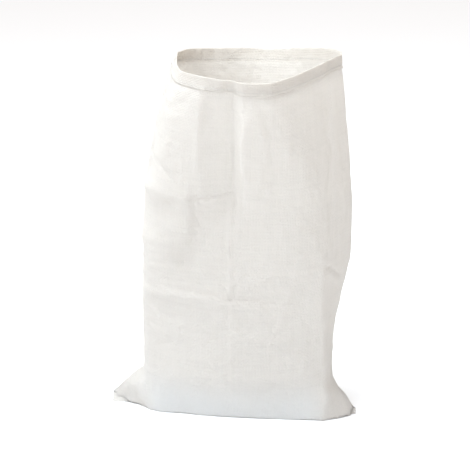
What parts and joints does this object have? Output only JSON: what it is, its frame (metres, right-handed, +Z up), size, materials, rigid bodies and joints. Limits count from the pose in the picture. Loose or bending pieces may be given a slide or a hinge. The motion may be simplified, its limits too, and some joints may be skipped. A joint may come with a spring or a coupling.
{
  "type": "woven cement sack",
  "caption": "Empty white woven plastic sack standing open, with a sewn hem round the mouth and sewn bottom corners that stick out as ears.",
  "frame": {"origin": "on the floor, under the middle of the sack's box", "axes": "+Z up towards the mouth, X along the bottom seam, -Y towards the front face"},
  "size_m": [0.5, 0.3118, 0.7385],
  "materials": {
    "woven_cloth": "slightly glossy woven plastic tape",
    "sewing_thread": "matt"
  },
  "bodies": {
    "root": {"woven_sack": "woven_cloth", "mouth_hem_thread": "sewing_thread", "bottom_seam_thread": "sewing_thread"}
  },
  "joints": []
}
